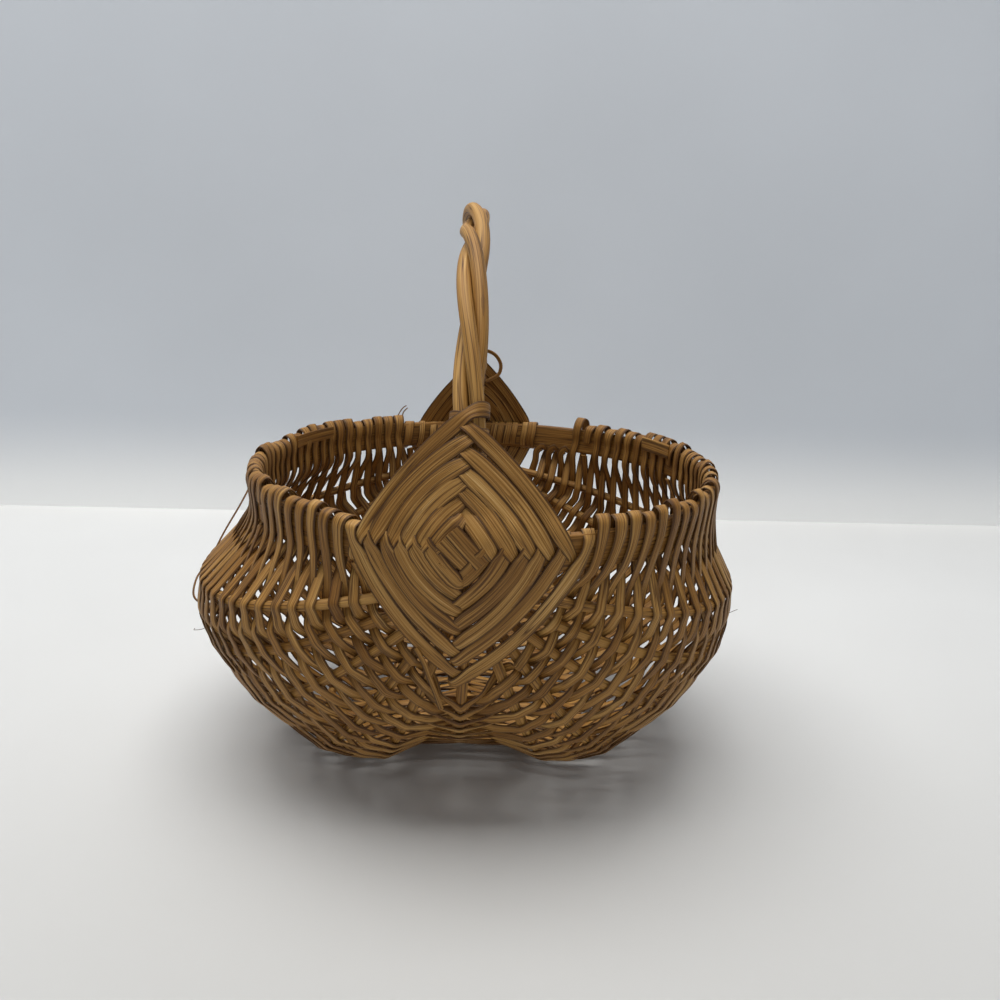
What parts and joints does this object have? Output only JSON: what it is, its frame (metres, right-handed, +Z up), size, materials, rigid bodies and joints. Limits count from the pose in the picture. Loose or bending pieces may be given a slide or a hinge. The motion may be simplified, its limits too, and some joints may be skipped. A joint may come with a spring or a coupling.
{
  "type": "buttocks basket",
  "caption": "Small handled rib basket with two rounded lobes, woven of flat reed over round ribs, with a twisted handle lashed at both ends.",
  "frame": {"origin": "middle of the box's bottom, on the surface that the basket stands on", "axes": "+Z up, the handle arches along Y from the front lashing at -Y to the back lashing at +Y, +X to the right of someone facing the front lashing"},
  "size_m": [0.233, 0.2068, 0.235],
  "materials": {
    "rim_splint": "bare flat wood splint, satin",
    "handle_reed": "bare round reed with fine vessel lines, satin",
    "rib_reed": "bare round reed, satin",
    "weaver_reed": "bare flat reed with fine fibres along it, satin",
    "lashing_reed": "bare flat reed with fine fibres along it, satin"
  },
  "bodies": {
    "root": {"rim_hoop": "rim_splint", "handle_strand_1": "handle_reed", "handle_strand_2": "handle_reed", "handle_strand_3": "handle_reed", "rib_left_1": "rib_reed", "rib_left_2": "rib_reed", "rib_left_3": "rib_reed", "rib_left_4": "rib_reed", "rib_left_5": "rib_reed", "rib_right_1": "rib_reed", "rib_right_2": "rib_reed", "rib_right_3": "rib_reed", "rib_right_4": "rib_reed", "rib_right_5": "rib_reed", "rib_bottom": "rib_reed", "weaver_1": "weaver_reed", "weaver_2": "weaver_reed", "weaver_3": "weaver_reed", "weaver_4": "weaver_reed", "weaver_5": "weaver_reed", "weaver_6": "weaver_reed", "weaver_7": "weaver_reed", "weaver_8": "weaver_reed", "lashing_front": "lashing_reed", "lashing_back": "lashing_reed"}
  },
  "joints": []
}
